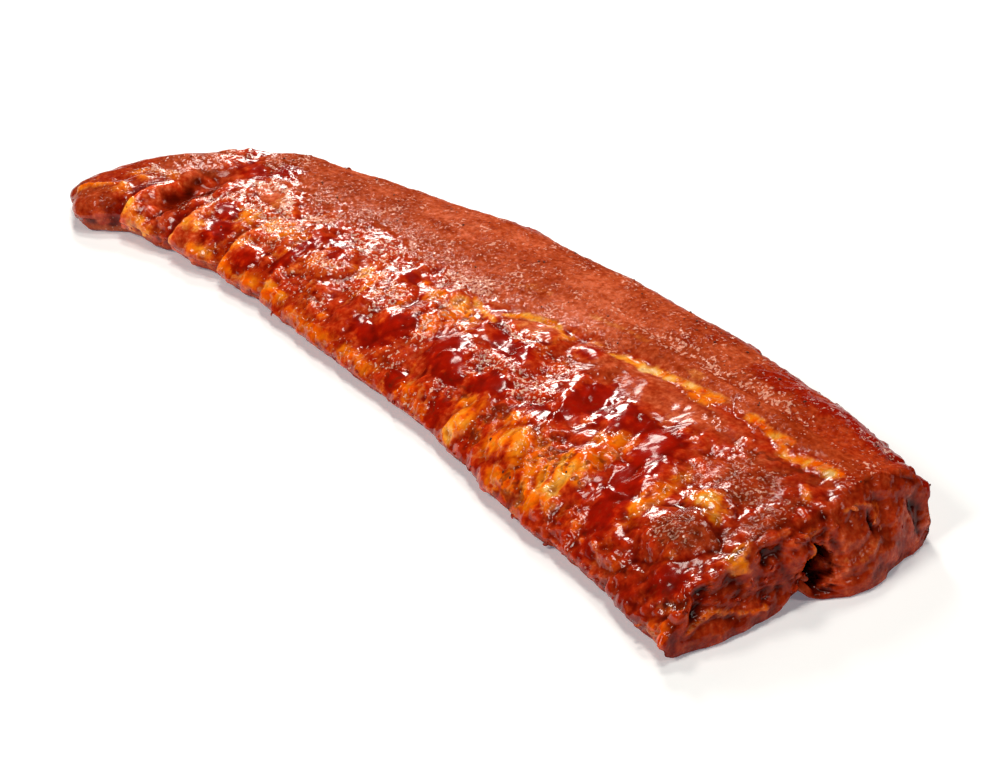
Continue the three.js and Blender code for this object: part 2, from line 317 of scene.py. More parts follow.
# Fat: patches over the ribs, the seam along the loin, and lines on the rib tips and the narrow end.
fat = patches((
    (3, -8, 13, 6, -15, 1), (-12, -10, 9, 5, -10, 1), (4, -26, 8, 11, 0, 0.7),
    (17, -24, 6, 6, 20, 0.45), (21, -52, 7, 4, 0, 0.8), (33, -50, 5, 3, 0, 0.5),
    (53, 9, 4, 6, 10, 0.65), (62, -53, 6, 6, 0, 1), (56, -45, 7, 4, 10, 0.8), (84, -40, 8, 7, -20, 0.9),
    (92, -51, 12, 7, 0, 1), (99, -49, 7, 11, 10, 0.9), (129, -29, 9, 10, 0, 0.75),
    (128, -47, 12, 9, 0, 1), (124, -61, 13, 7, 0, 1), (102, -63, 13, 4, 0, 0.8),
    (166, -41, 6, 19, 8, 0.85), (186, -28, 12, 6, -20, 1), (194, -34, 6, 5, 0, 0.8),
    (206, 2, 6, 2.2, -40, 0.8), (110, -9, 4, 2, -30, 0.5), (108, -24, 4, 4, 0, 0.6),
    (219, -40, 6, 9, 0, 0.95), (213, -69, 10, 4, 0, 0.6), (158, -63, 14, 5, -5, 0.6),
    (217, -77, 9, 4, 0, 0.7), (200, -58, 9, 4, -10, 0.45), (178, -67, 6, 3, 0, 0.4),
    (112, 27, 8, 2.5, 0, 0.35), (104, -52, 34, 9, -3, 0.75), (62, -48, 9, 8, 0, 0.7),
    (129, -36, 7, 16, 0, 0.8), (84, -38, 9, 5, 0, 0.8), (8, -16, 12, 12, 0, 0.55),
    (128, 18, 8, 4, 0, 0.85), (27, -51, 9, 4, 0, 0.6), (-53, -16, 6, 10, 0, 0.6),
    (-75, -30, 12, 5, 0, 0.5), (140, -2, 14, 3, -8, 0.35), (-53, -18, 7, 7, 0, 0.9),
    (-44, -20, 6, 11, 20, 0.8), (-25, -6, 6, 3.5, 0, 0.7), (-21, -26, 2.5, 8, 0, 0.6),
    (-45, -47, 3, 3, 0, 0.8), (-80, -49, 12, 2.5, -3, 1), (-16, -52, 8, 2.5, 0, 0.8),
    (-72, -28, 13, 8, 0, 0.4), (-115, -23, 11, 8, 0, 0.7), (-102, -24, 9, 9, 20, 0.5),
    (-144, -47, 9, 4, 20, 0.8), (-136, -28, 16, 8, -20, 0.65), (-70, -12, 10, 5, 0, 0.35),
    (-33, -24, 6, 9, 0, 0.5), (-176, -62, 13, 2.5, 0, 0.7), (-198, -46, 10, 3, -10, 0.6),
    (-196, -60, 9, 4, 10, 0.55), (-119, -42, 4, 6, 0, 0.6), (-94, -28, 2.5, 10, 0, 0.6),
    (12, 22, 9, 3, 20, 0.3), (-206, -43, 9, 4, 40, 0.75), (-192, -36, 8, 4, 20, 0.6),
    (-10, -53, 18, 3, 0, 0.6), (34, -54, 12, 3, 0, 0.6), (125, 17, 9, 2.8, 0, 0.85),
    (191, 17, 9, 2.6, 0, 0.9), (177, 16, 5, 3, -20, 0.8), (-2, -48, 4, 4, 0, 0.3),
), 0.15, 1.3, 0.25 * small + 0.3 * middle + 0.45 * strands)
seam = ridges((
    ([[22, 1], [26, 8], [34, 12], [43, 12.5], [50, 9]], 1.7, 0.85),
    ([[76, 13], [80, 17], [90, 18]], 2, 0.8),
    ([[92, 18], [98, 19.5], [110, 21], [122, 21.5], [135, 22]], 2, 0.95),
    ([[151, 22], [160, 21.5], [168, 20.5], [174, 18.5], [180, 15.5]], 1.7, 0.9),
    ([[168, 21.5], [176, 22]], 1.6, 0.8),
    ([[180, 15], [187, 15.5], [193, 17], [199, 18], [205, 18]], 2.6, 1), ([[60, 15], [68, 16]], 1, 0.5),
    ([[45, 27], [60, 28.5], [80, 29]], 1.3, 0.3), ([[0, 1], [10, -2], [22, -6]], 1.5, 0.8),
), 0.1, 1.7, 0.45 * small + 0.3 * middle + 0.4 * grain)
edge_fat = 0.75 * bell(share, 0.022, 0.021) * between(x, -155, -20, 20) * ease(0.75 + 1.8 * broad)
tip_fat = ridges((
    ([[-219, -69], [-209, -61], [-198, -56], [-188, -59], [-181, -60]], 1.8, 0.85),
), 0.1, 1.7, 0.45 * small + 0.3 * middle)
fat = np.maximum(np.maximum(fat, seam), np.maximum(edge_fat, tip_fat))

# Fat with little sauce on it, and faint streaks of fat over the ribs.
thin = patches((
    (128, -52, 13, 12, 0, 1), (61, -54, 6, 6, 0, 0.9), (188, -30, 10, 5, -20, 1),
    (97, -50, 10, 9, 0, 0.9), (-52, -17, 7, 7, 0, 0.7), (8, -4, 14, 4, -20, 0.7),
    (165, -46, 4, 10, 8, 0.6), (-198, -46, 9, 3, 0, 0.6), (122, 18, 14, 4, 0, 0.6),
    (190, 17, 14, 4, 0, 0.6), (219, -40, 6, 9, 0, 1), (84, -38, 7, 4, 0, 0.7),
    (-134, -24, 14, 8, -15, 0.5),
), 0.4, 1.0, 0.3 * middle)
streaks = ease((cloud(across_ribs, (7, 26, 12), 23, 3) - 0.15) / 0.3)
fat = np.maximum(
    fat, 0.3 * streaks * rib_side * (1 - bell(x, -195, 28)) * (1 - ease((x - 60) / 40))
) * outside

# Pools of thick smooth sauce; smooth dull places with thin sauce; crags that catch the light.
pool = patches((
    (26, -32, 18, 8, -28, 1), (46, -13, 15, 5, -10, 1), (58, -34, 12, 5, 0, 0.9),
    (98, -14, 8, 15, 0, 1), (151, -35, 8, 34, 20, 1), (112, -14, 12, 8, 0, 0.9),
    (-80, -14, 8, 3.5, 0, 1), (-90, -28, 3, 13, 0, 0.9), (-8, -33, 9, 7, 0, 1),
    (-15, -42, 12, 4, 0, 0.9), (-157, 7, 10, 7, 0, 1), (-145, -32, 6, 5, 0, 0.9),
    (-136, -43, 8, 6, 0, 0.9), (-34, -8, 5, 3, 0, 0.8), (71, 8, 7, 5, 0, 0.9), (-71, -22, 5, 3, 0, 0.8),
    (-108, -46, 6, 5, 0, 0.8), (130, -12, 16, 5, -10, 0.8), (15, -51, 5, 4, 0, 0.8),
    (46, -52, 5, 5, 0, 0.7), (88, -34, 11, 4, 0, 0.6), (-165, 0, 12, 8, 0, 0.7),
    (-186, 13, 8, 7, 20, 0.7), (206, -64, 7, 7, 0, 0.7),
), 0.8, 0.5, 0.3 * small + 0.25 * middle, outside)
smooth = patches((
    (112, 7, 48, 11, 2, 1), (38, 5, 14, 6, 0, 0.8), (150, 27, 60, 6, 0, 0.8),
    (-200, -14, 14, 22, 20, 0.6), (-140, -12, 14, 5, -10, 0.8), (180, 8, 25, 4, 3, 0.6),
), 0.6, 0.8, 0.3 * middle)
rough = patches((
    (40, -24, 17, 5, 8, 1), (41, -33, 8, 5, 30, 1), (68, -8, 9, 8, -30, 1), (70, -24, 18, 4, -5, 0.8),
    (70, -32, 5, 5, 0, 1), (-1, -28, 10, 13, 0, 0.9), (0, -45, 14, 5, 0, 0.7),
    (36, -5, 11, 4, -15, 0.8), (40, -47, 9, 6, 0, 0.9), (73, -47, 5, 13, 0, 0.7),
    (-54, -28, 6, 5, 0, 0.9), (-55, -44, 7, 5, 0, 0.9), (-26, -19, 6, 7, 0, 0.9),
    (-66, -25, 7, 7, 0, 0.7), (-75, -42, 20, 5, 0, 0.8), (-97, -15, 5, 8, 0, 0.7),
    (-85, -2, 9, 6, 0, 0.7), (-25, 4, 17, 5, 0, 0.7), (-6, 6, 9, 5, 0, 0.7), (164, -12, 6, 9, 0, 0.9),
    (170, 4, 6, 3, 0, 0.8), (188, -52, 15, 7, 0, 0.9), (111, -49, 9, 10, 0, 0.9),
    (144, 21, 6, 2.5, 0, 0.9), (145, 10, 6, 3, -15, 0.9), (155, -65, 40, 7, -5, 1),
    (-118, -22, 18, 12, 0, 1), (-142, -19, 16, 7, -20, 1), (-45, -22, 14, 10, 0, 0.7),
    (-140, -45, 12, 6, 0, 0.7), (-154, -33, 4, 16, 0, 0.8), (-170, -58, 12, 3, 0, 0.7),
    (94, -42, 14, 12, 0, 0.5), (216, -66, 8, 8, 0, 0.7), (90, 4, 7, 8, 0, 0.6),
    (180, -27, 9, 6, 0, 0.6), (38, 14, 6, 3, 0, 0.6), (59, 14, 5, 3, 0, 0.7),
), 0.6, 0.8, 0.4 * middle, outside * (1 - 0.8 * pool))

# Burnt spots.
char = patches((
    (117, -47, 10, 7, 0, 1), (107, -44, 6, 6, 0, 0.8), (112, -64, 9, 4.5, 0, 1),
    (133, -41, 4, 12, 10, 0.6), (75, -46, 5, 14, 0, 0.95), (46, -43, 9, 5, 0, 0.7),
    (43, -49, 6, 5, 0, 0.7), (-58, -44, 8, 4, 0, 0.5), (8, -9, 4, 3, 0, 0.9), (12, -50, 7, 4, 0, 0.6),
    (180, 10, 24, 2.2, 3, 0.6), (207, -65, 7, 7, 0, 0.5), (150, -66, 26, 4, 0, 0.4),
    (192, -52, 6, 3, 0, 0.5), (137, -38, 3, 9, 10, 0.5), (-90, -30, 3, 12, 0, 0.4),
), 0.4, 1.0, 0.5 * middle + 0.4 * small)

# Drier places with little sauce on them, and the band of sheen where the loin slopes to the ribs:
# more gloss there, and a lighter colour painted in as sheen.
dry = patches((
    (184, -7, 24, 13, 0, 1), (191, -46, 15, 9, 0, 0.9), (-105, -2, 20, 6, 10, 0.8),
    (208, -20, 8, 14, 0, 1), (-202, -14, 17, 30, 15, 0.55), (-205, -66, 16, 9, 0, 0.8),
), 0.6, 0.7, 0.5 * middle)
sheen = bell(y, boundary(x) + 4 + 3 * middle, 9) * (1 - ease((x - 30) / 50))
fibres = cloud(form, (34, 5, 12), 41, 3)

# The dark glossy strip along the chine edge, and runs of sauce down the creased wall below it.
back_strip = (
    0.8 * ease((y - 40 + 7 * middle + 7 * broad) / 9) * ease((x - 95 + 45 * broad + 20 * middle) / 60)
    * outside
)
side = ease((normal[..., 1] - 0.25) / 0.6) * behind * outside
runs = ease(0.45 + 1.3 * cloud(form, (34, 20, 13), 61, 3)) * side
back_strip = np.maximum(back_strip, 0.8 * runs)
creases = cloud(form, (46, 9, 6), 67, 2)

# Places with a tone or finish of their own: near the cut, low at the front, the ribs towards the
# narrow end, the mound beside the cut, quiet sauce with few highlights, and the narrow end's tip.
near = ease((x - 165) / 25) * rib_side
low_front = ease((x - 125) / 40) * rib_side * ease((-52 - y) / 14)
far_ribs = rib_side * (1 - ease((x - 60) / 40))
mound = 1 - ease((ellipse(x, y, 190, -47, 18, 13, 0) + 0.5 * middle + 0.4 * broad - 0.3) / 0.9)
calm = patches((
    (142, -17, 11, 20, 0, 0.85), (100, 6, 10, 7, 0, 0.6), (67, 8, 11, 8, 0, 0.6),
), 0.6, 0.8, 0.3 * middle)
tip = (1 - ease((x + 205) / 22)) * outside

# Rounded lumps of meat, as [x, y, half length, half width, turn, height].
lump = np.zeros_like(x)
for cx, cy, rx, ry, angle, height in (
    (-72, -24, 13, 11, 0, 1.6), (-26, -17, 7, 8, 0, 1.2), (40, 3, 16, 8, 8, 1.6),
    (-110, -45, 9, 7, 0, 1.3), (189, -48, 17, 12, -12, 1.9), (140, -20, 9, 13, 15, 1.7),
    (157, -31, 8, 12, 15, 1.3), (-141, -7, 20, 8, -14, 1), (-192, 5, 11, 6, 35, 1.2),
    (166, -12, 8, 8, 0, 1), (-14, -31, 9, 8, 0, 1.1), (26, -30, 15, 11, -25, 1),
    (62, -53, 7, 7, 0, 1.2), (92, -51, 13, 8, 0, 1.2), (217, 47, 9, 7, 0, 1.3),
    (-45, -22, 8, 11, 0, 0.8), (4, -24, 9, 11, 0, 0.8), (-157, 8, 9, 7, 0, 0.6),
    (128, -48, 13, 12, 0, 0.8), (70, 8, 10, 7, 0, 0.7), (188, -29, 13, 8, -20, 0.8),
    (112, 6, 20, 10, 0, 0.6),
):
    edge = ellipse(x, y, cx, cy, rx, ry, angle) + 0.24 * middle + 0.2 * broad
    lump += height * (np.sqrt(np.clip(1 - edge**2, 0, 1)) - 0.25 * bell(edge, 1.12, 0.16))
lump = lump * on_top

# Painted sheen: a pale colour along broad soft folds, standing in for their dull highlight.
painted_fold_sheen = ridges((
    ([[-155, -9], [-148, -4], [-139, -3.5], [-130, -9], [-125, -13]], 3, 1),
    ([[-115, -8], [-104, -7]], 2, 0.8), ([[140, 38], [144, 36], [150, 35.5], [157, 39]], 1, 0.8),
    ([[-196, 11], [-188, 7], [-182, 4]], 2, 0.8), ([[-209, -8], [-203, -1], [-196, 3]], 2, 0.8),
    ([[-208, -35], [-199, -37], [-191, -38]], 1.6, 0.8),
), 0.4, 1.2, 0.3 * middle, outside)

# Pale grainy places, where fine beads of fat and sauce stand close together as bump and gloss; their
# pale colour is painted glints.
painted_glint_frost = np.maximum(0.75 * rough * (1 - 0.7 * ease((x - 105) / 30)), patches((
    (-62, -5, 22, 10, 0, 1), (-105, -8, 10, 8, 0, 0.7), (-110, -29, 12, 9, 0, 0.8),
    (-73, -28, 13, 7, 0, 1), (-26, -25, 6, 11, 0, 1), (2, -30, 12, 9, 0, 1), (0, -15, 14, 6, 0, 0.8),
    (-15, 5, 18, 7, 0, 1), (42, -6, 20, 4, -6, 0.9), (42, -25, 19, 8, 10, 1), (74, -6, 14, 9, 0, 0.7),
    (74, -25, 18, 6, -5, 1), (71, -33, 5, 5, 0, 1), (-152, -30, 5, 18, 0, 0.9),
    (-136, -21, 14, 6, -15, 1), (-42, -30, 10, 4, 0, 0.8), (108, 36, 55, 5, 0, 0.55),
    (55, 35, 20, 6, 0, 0.5), (-45, 16, 45, 12, 0, 0.2), (-198, -6, 12, 7, 35, 0.8),
    (-200, -38, 11, 4, -5, 0.9), (145, 11, 7, 3, -15, 1), (168, 4, 8, 4, -10, 0.7),
    (188, -50, 10, 6, 0, 0.7), (0, -46, 12, 6, 0, 0.7), (88, 7, 7, 7, 0, 0.6),
    (194, -9, 22, 13, 0, 0.45), (205, 28, 12, 12, 0, 0.4), (126, -53, 12, 8, 0, 0.4),
    (195, 50, 9, 4, 0, 0.7), (-10, -53, 22, 4, 0, 0.5), (-55, -50, 20, 4, 0, 0.45),
    (-100, -47, 20, 4, 0, 0.35), (30, -54, 14, 4, 0, 0.6), (-165, -35, 10, 14, 0, 0.8),
    (-120, -35, 14, 12, 0, 0.6), (-140, -38, 14, 8, 0, 0.5), (-203, -40, 12, 5, 40, 0.8),
), 0.5, 1.0, 0.4 * middle + 0.3 * small, outside * (1 - pool)))

# Under the rack the ribs show as pale stripes through a thin skin.
bones = (
    bell(np.sin(np.pi * (rib_number(x, y) + 0.1 * middle)), 0, 0.42)
    * (1 - ease((share - 0.42) / 0.12)) * ease((share - 0.04) / 0.08)
)
bones = bones * on_under * ease((x + 212) / 30) * ease(0.7 + middle)

# Thin folds and beads of sauce that stand up and catch the light.
crest = ridges((
    ([[134, -30], [139, -38], [144, -45]], 0.9, 0.9), ([[144, -45], [145.5, -54], [143, -63]], 1.3, 1),
    ([[147, -44], [152, -45.5], [158, -45]], 1.1, 0.9), ([[148, -27], [151, -31]], 1.3, 0.9),
    ([[102, -7], [108, -11], [114, -16]], 1, 0.8), ([[127, -7], [130, -13], [133, -20]], 1.1, 0.9),
    ([[93, -22], [96, -29], [101, -38]], 1.7, 1.2), ([[104, -38], [109, -32], [112, -25]], 2, 1.2),
    ([[90, -3], [92, -9], [97, -16]], 1.4, 1.1), ([[121, -9], [123, -12]], 1.1, 0.8),
    ([[152, -20], [157, -22]], 1.2, 0.8), ([[126, 39], [131, 38]], 1.3, 0.9),
    ([[140, 39], [144, 36], [150, 35.5], [157, 40]], 1.3, 1.2), ([[26, -34], [30, -32]], 1.8, 1.2),
    ([[38, -6], [46, -9], [55, -8]], 1.2, 0.9), ([[26, -3], [32, -7]], 1.5, 0.9),
    ([[28, -22], [40, -24], [52, -27], [62, -25]], 1.5, 0.7),
    ([[-90, -24], [-88, -29], [-89, -35]], 1.2, 1), ([[-87, -18], [-84, -20]], 1.6, 1),
    ([[-50, -30], [-42, -33], [-32, -33]], 1.4, 1), ([[-83, -20], [-78, -17], [-70, -18]], 1.2, 0.9),
    ([[-84, -31], [-74, -33], [-62, -31], [-60, -25]], 1.2, 0.9),
    ([[-105, -41], [-101, -46], [-105, -51]], 1, 1), ([[-18, -24], [-10, -23], [-8, -26]], 1.5, 1),
    ([[-18, -25], [-16, -31], [-12, -36]], 0.9, 0.9), ([[-30, -31], [-25, -34]], 1.8, 1),
    ([[-155, -9], [-149, -4], [-140, -4], [-128, -10]], 2.2, 0.6),
    ([[-150, -14], [-138, -19], [-127, -23]], 1.5, 0.8), ([[-148, 12], [-144, 9]], 1.5, 1),
    ([[-176, -10], [-168, -14], [-160, -17], [-156, -24]], 1, 1),
    ([[-180, -57], [-170, -56], [-161, -57]], 1.2, 1), ([[-196, 11], [-188, 7], [-182, 4]], 1.7, 1.2),
    ([[-209, -8], [-203, -1], [-196, 3]], 1.9, 1.2),
    ([[-208, -35], [-199, -37], [-191, -38]], 1.6, 0.9), ([[-211, -55], [-204, -57]], 1.4, 0.9),
    ([[-219, -69], [-209, -61], [-198, -56], [-188, -59]], 1.3, 1.1),
    ([[-210, -50], [-204, -41], [-196, -38]], 1.6, 0.9),
    ([[-184, -14], [-185, -30], [-184, -48]], 1.3, 0.9),
    ([[-157, -18], [-155, -32], [-156, -46]], 1.3, 1), ([[-110, -10], [-104, -8]], 1.4, 0.8),
    ([[168, -20], [174, -26], [177, -31]], 1.6, 1.1), ([[180, -45], [190, -47], [198, -50]], 1.3, 0.8),
    ([[212, -61], [218, -66], [224, -73]], 1.2, 1.2), ([[217, -86], [216, -76]], 0.8, 1.3),
    ([[-28, -52], [-22, -54]], 1.4, 0.9), ([[-14, -53], [-8, -55]], 1.4, 0.9),
    ([[2, -54], [8, -53]], 1.4, 0.9), ([[-62, -49], [-55, -52]], 1.3, 0.9),
    ([[-48, -53], [-42, -51]], 1.3, 0.9), ([[22, -56], [27, -54]], 1.3, 0.9),
    ([[52, -57], [58, -56]], 1.3, 0.9), ([[70, -58], [76, -61]], 1.3, 0.9),
    ([[-96, -49], [-90, -48]], 1.3, 0.8), ([[122, -61], [127, -59]], 1.9, 1),
    ([[129, -66], [136, -64]], 1.9, 1), ([[126, -70], [134, -71]], 1.6, 1),
    ([[118, -55], [121, -50]], 1.4, 0.9), ([[148, -62], [153, -60]], 1.2, 1),
    ([[161, -64], [165, -61], [166, -57]], 1.1, 1), ([[172, -67], [178, -65]], 1.3, 1.1),
    ([[184, -69], [187, -65], [192, -65]], 1.1, 1.1), ([[198, -70], [204, -71]], 1.3, 1.1),
    ([[210, -73], [214, -69]], 1.1, 1), ([[222, -86], [221, -77]], 0.8, 1.4),
    ([[196, -84], [195, -74]], 0.9, 1), ([[176, -80], [177, -70]], 0.9, 1),
    ([[214, -60], [221, -64]], 1, 1), ([[200, -22], [203, -34]], 1.1, 0.8),
    ([[222, 37], [229, 33]], 1.6, 0.9), ([[-90, -6], [-84, -1], [-76, 5]], 1.8, 0.8),
), 0.0, 1.3, 0.35 * small + 0.3 * middle, outside)

# The cut end: torn pieces of meat and fat, as [y, z, half width, half height, turn, relief, fat, dark];
# dark is painted shade.
torn = np.zeros_like(x)
cut_fat = np.zeros_like(x)
cut_painted_shade = np.zeros_like(x)
for cy, cz, ry, rz, angle, height, fatness, dark in (
    (-43, 27, 8, 3.5, -40, 1.8, 0.75, 0), (-38, 32, 4, 4, 0, 1.4, 0.6, 0),
    (-26, 25, 5, 3.5, 0, -2.2, 0, 0.4), (-58, 21, 10, 2.5, 54, -2.2, 0, 0.45),
    (-66, 19, 9, 3, 54, 1.4, 0.1, 0), (-43, 17, 12, 4, -10, -0.8, 0, 0.2),
    (-15, 20, 6, 9, 15, 3.5, 0.1, 0), (-10, 20, 1.2, 7, 12, 1.2, 0.5, 0), (-6, 12, 4, 8, 0, -7, 0, 0.7),
    (1, 18, 3, 10, 5, -1.6, 0, 0.3), (-9, 27, 5, 1.5, 0, 1.2, 0.4, 0), (-22, 30, 7, 1.5, 0, 1, 0.2, 0),
    (14, 15, 7, 1.8, 20, 0.6, 0.2, 0), (23, 23, 1.6, 3, 0, 0.6, 0.3, 0),
    (19.8, 24, 0.9, 5, 0, -1, 0, 0.5), (4, 14, 1, 2, 0, 0.3, 0.3, 0), (45, 15, 3, 8, 12, -1.2, 0, 0.4),
    (28, 10, 9, 5, -30, 0.9, 0, 0), (34, 20, 6, 6, 0, 0.8, 0, 0), (10, 24, 7, 5, 0, 0.8, 0, 0),
    (-30, 11, 10, 2.5, 5, -0.9, 0, 0.3), (-30, 4, 42, 3.5, 0, 0.8, 0, 0.2),
    (-52, 30, 6, 3, -20, 1.2, 0, 0),
):
    edge = ellipse(y, z, cy, cz, ry, rz, angle) + 0.4 * small + 0.3 * middle
    inside = 1 - ease((edge - 0.4) / 1.0)
    torn += height * inside
    cut_fat = np.maximum(cut_fat, fatness * inside)
    cut_painted_shade = np.maximum(cut_painted_shade, dark * inside)
for points, width, height, fatness in (
    ([[-68, 9], [-61, 12], [-55, 13], [-50, 11], [-45, 9], [-38, 7], [-33, 7]], 1.2, 1, 0.55),
    ([[9, 30], [14, 31], [20, 29], [26, 26], [24, 20]], 0.8, 0.7, 0.4),
    ([[39, 24], [41, 15], [46, 4]], 0.7, 0.6, 0.25),
    ([[12, 3], [20, 5], [32, 1], [46, 0]], 0.8, 0.4, 0.25),
):
    inside = 1 - ease((line_distance(y, z, points) / width + 0.8 * small - 0.2) / 1.4)
    torn += height * inside
    cut_fat = np.maximum(cut_fat, fatness * inside)
fat = np.maximum(fat * (1 - 0.8 * pool), cut_fat * on_cut)

# Along the rib tips each rib's meat overlaps the one before it: a step up at the notch, which
# slopes away after it.
phase = np.mod(-(rib_number(x, y) + 0.15 + 0.04 * middle + 0.06 * broad), 1)
overlap = (
    (1 - 0.85 * ease((x + 135) / 70)) * (1 - ease((share - 0.1) / 0.35)) * outside * ease((x + 222) / 20)
)
step = (ease(phase / 0.09) * (1 - phase) - 0.45) * overlap
rim = bell(phase, 0.07, 0.06) * overlap * ease(0.5 + 2 * middle) * ease((x + 178) / 15)
fat = np.maximum(np.maximum(fat, 0.7 * rim), 0.5 * bones)

# The deep pocket in the fold at the narrow end, and the narrow slit along the loin's groove.
pocket = (
    (1 - ease((ellipse(x, y, -172, -36, 11, 20, 12) + 0.4 * middle + 0.4 * broad - 0.4) / 0.9)) * on_top
)
slit = bell(y, 33.6, 1.8) * between(x, 95, 190)

# Meat first, then sauce that fills it up to a level: sauce = smooth max(0, level - meat), rounded
# off over FILL; bare is the same the other way round. Relief = meat + sauce + 0.7 crest.
FILL = 0.12
plain = (1 - 0.75 * np.maximum(smooth, np.maximum(0.6 * dry, 1 - ease((x + 202) / 22)))) * (1 - 0.6 * calm)
crag = (0.3 + 0.7 * ease(0.5 + 1.4 * cloud(form, 19, 53, 2)) + 0.7 * rough) * plain
meat = middle * (0.35 + 0.75 * rib_side * plain + 0.3 * rough) + 0.4 * broad + lump
meat += (0.65 * small + 0.3 * grain) * rib_side * crag
meat += (0.15 * small + 0.15 * grain + 0.25 * fibres) * loin * (1 - 0.5 * smooth)
meat += back_strip * (0.3 + 0.5 * middle + 0.4 * small) * (1 - 0.5 * side) - 0.9 * slit
low_side = ease((normal[..., 1] - 0.55) / 0.35) * side
meat += low_side * (
    1.7 * creases - 1.4 * np.clip(1 - 7 * np.abs(creases), 0, 1) + 0.6 * middle + 0.4 * small
)
meat += 1.4 * ease((x - 211) / 7) * outside * (middle + 0.7 * small)
meat -= 1.6 * ridges((
    ([[207, 64], [208, 56], [205, 48]], 1.6, 1), ([[152, 67], [154, 60]], 1, 0.7),
), 0.3, 1.2, 0.3 * middle, outside)
meat += (
    (fat - 0.8 * seam - 0.8 * edge_fat) * on_top
    * (0.3 + 0.7 * (1 - 2 * np.abs(strands)) * rib_side) * (1 - 0.7 * smooth)
)
wall = outside * (1 - on_top)
folds = cloud(form, (5, 9, 22), 47, 2)
meat += wall * (1.1 * folds + 0.4 * small + 0.8 * np.clip(1 - 5 * np.abs(folds), 0, 1) - 0.3)
meat += low_front * (0.2 * small + 0.5 * middle)
meat *= 1 - 0.75 * pocket
meat += 3.4 * step - 1.6 * pocket
meat += on_cut * (torn + 0.9 * middle + 0.35 * small + 0.2 * grain)
meat += on_under * (0.3 * small + 0.4 * middle)
level = soften(meat, 10) - 0.35 + 0.9 * pool - 0.5 * loin - 0.7 * on_cut - 0.4 * on_under
level += 0.35 * cloud(form, 7, 31, 2) * rib_side * plain
sauce = np.logaddexp(0, (level - meat) / FILL) * FILL
sauce = sauce * (0.35 + 0.65 * np.clip(rib_side + pool, 0, 1))
bare = np.logaddexp(0, (meat - level) / FILL) * FILL
# hollow is how far a point lies below its softened surroundings; below, it darkens the colour in hollows as
# painted shade.
hollow = np.clip(soften(meat, 16) - meat, -1, 1)
relief = meat + sauce + 0.7 * crest
points = form + normal * relief[..., None]
# The wall is drawn in a little below the rib tips, and nothing goes below the floor.
points[..., 1] += 1.7 * (1 - on_top) * (1 - on_cut) * (1 - ease(share / 0.12))
points[..., 2] = np.maximum(points[..., 2], 0)

# What the material reads at each point: thickness of the sauce, share of fat, dull finish, burnt
# spots, strength of the gloss coat, pale beads whose colour is painted glints, fine bump, and tone
# (1 as it is, less is darker), which also holds painted shade.
# The loin's sauce is thinner, so lighter, in the sheen band as painted sheen; thicker, so darker, in a line
# below the seam's fold near the cut as painted shadow, and in the slit as painted shade.
loin_sauce = (
    0.85 + 0.45 * fibres - 0.2 * sheen + 1.2 * back_strip + 0.2 * middle + 0.2 * broad + 0.2 * small
)
loin_sauce += (
    0.55 * ease((x - 140) / 45) + 0.5 * bell(y, 11, 2.5) * between(x, 150, 205)
    - 0.3 * bell(x, 35, 25) * bell(y, 22, 16)
)
loin_sauce += 0.5 * slit
rib_sauce = (
    1.15 * (1 - fat) - 0.35 * smooth + 0.6 * fibres * smooth + 0.1 * dry + (1 - fat) * fat - 0.25 * bare
)
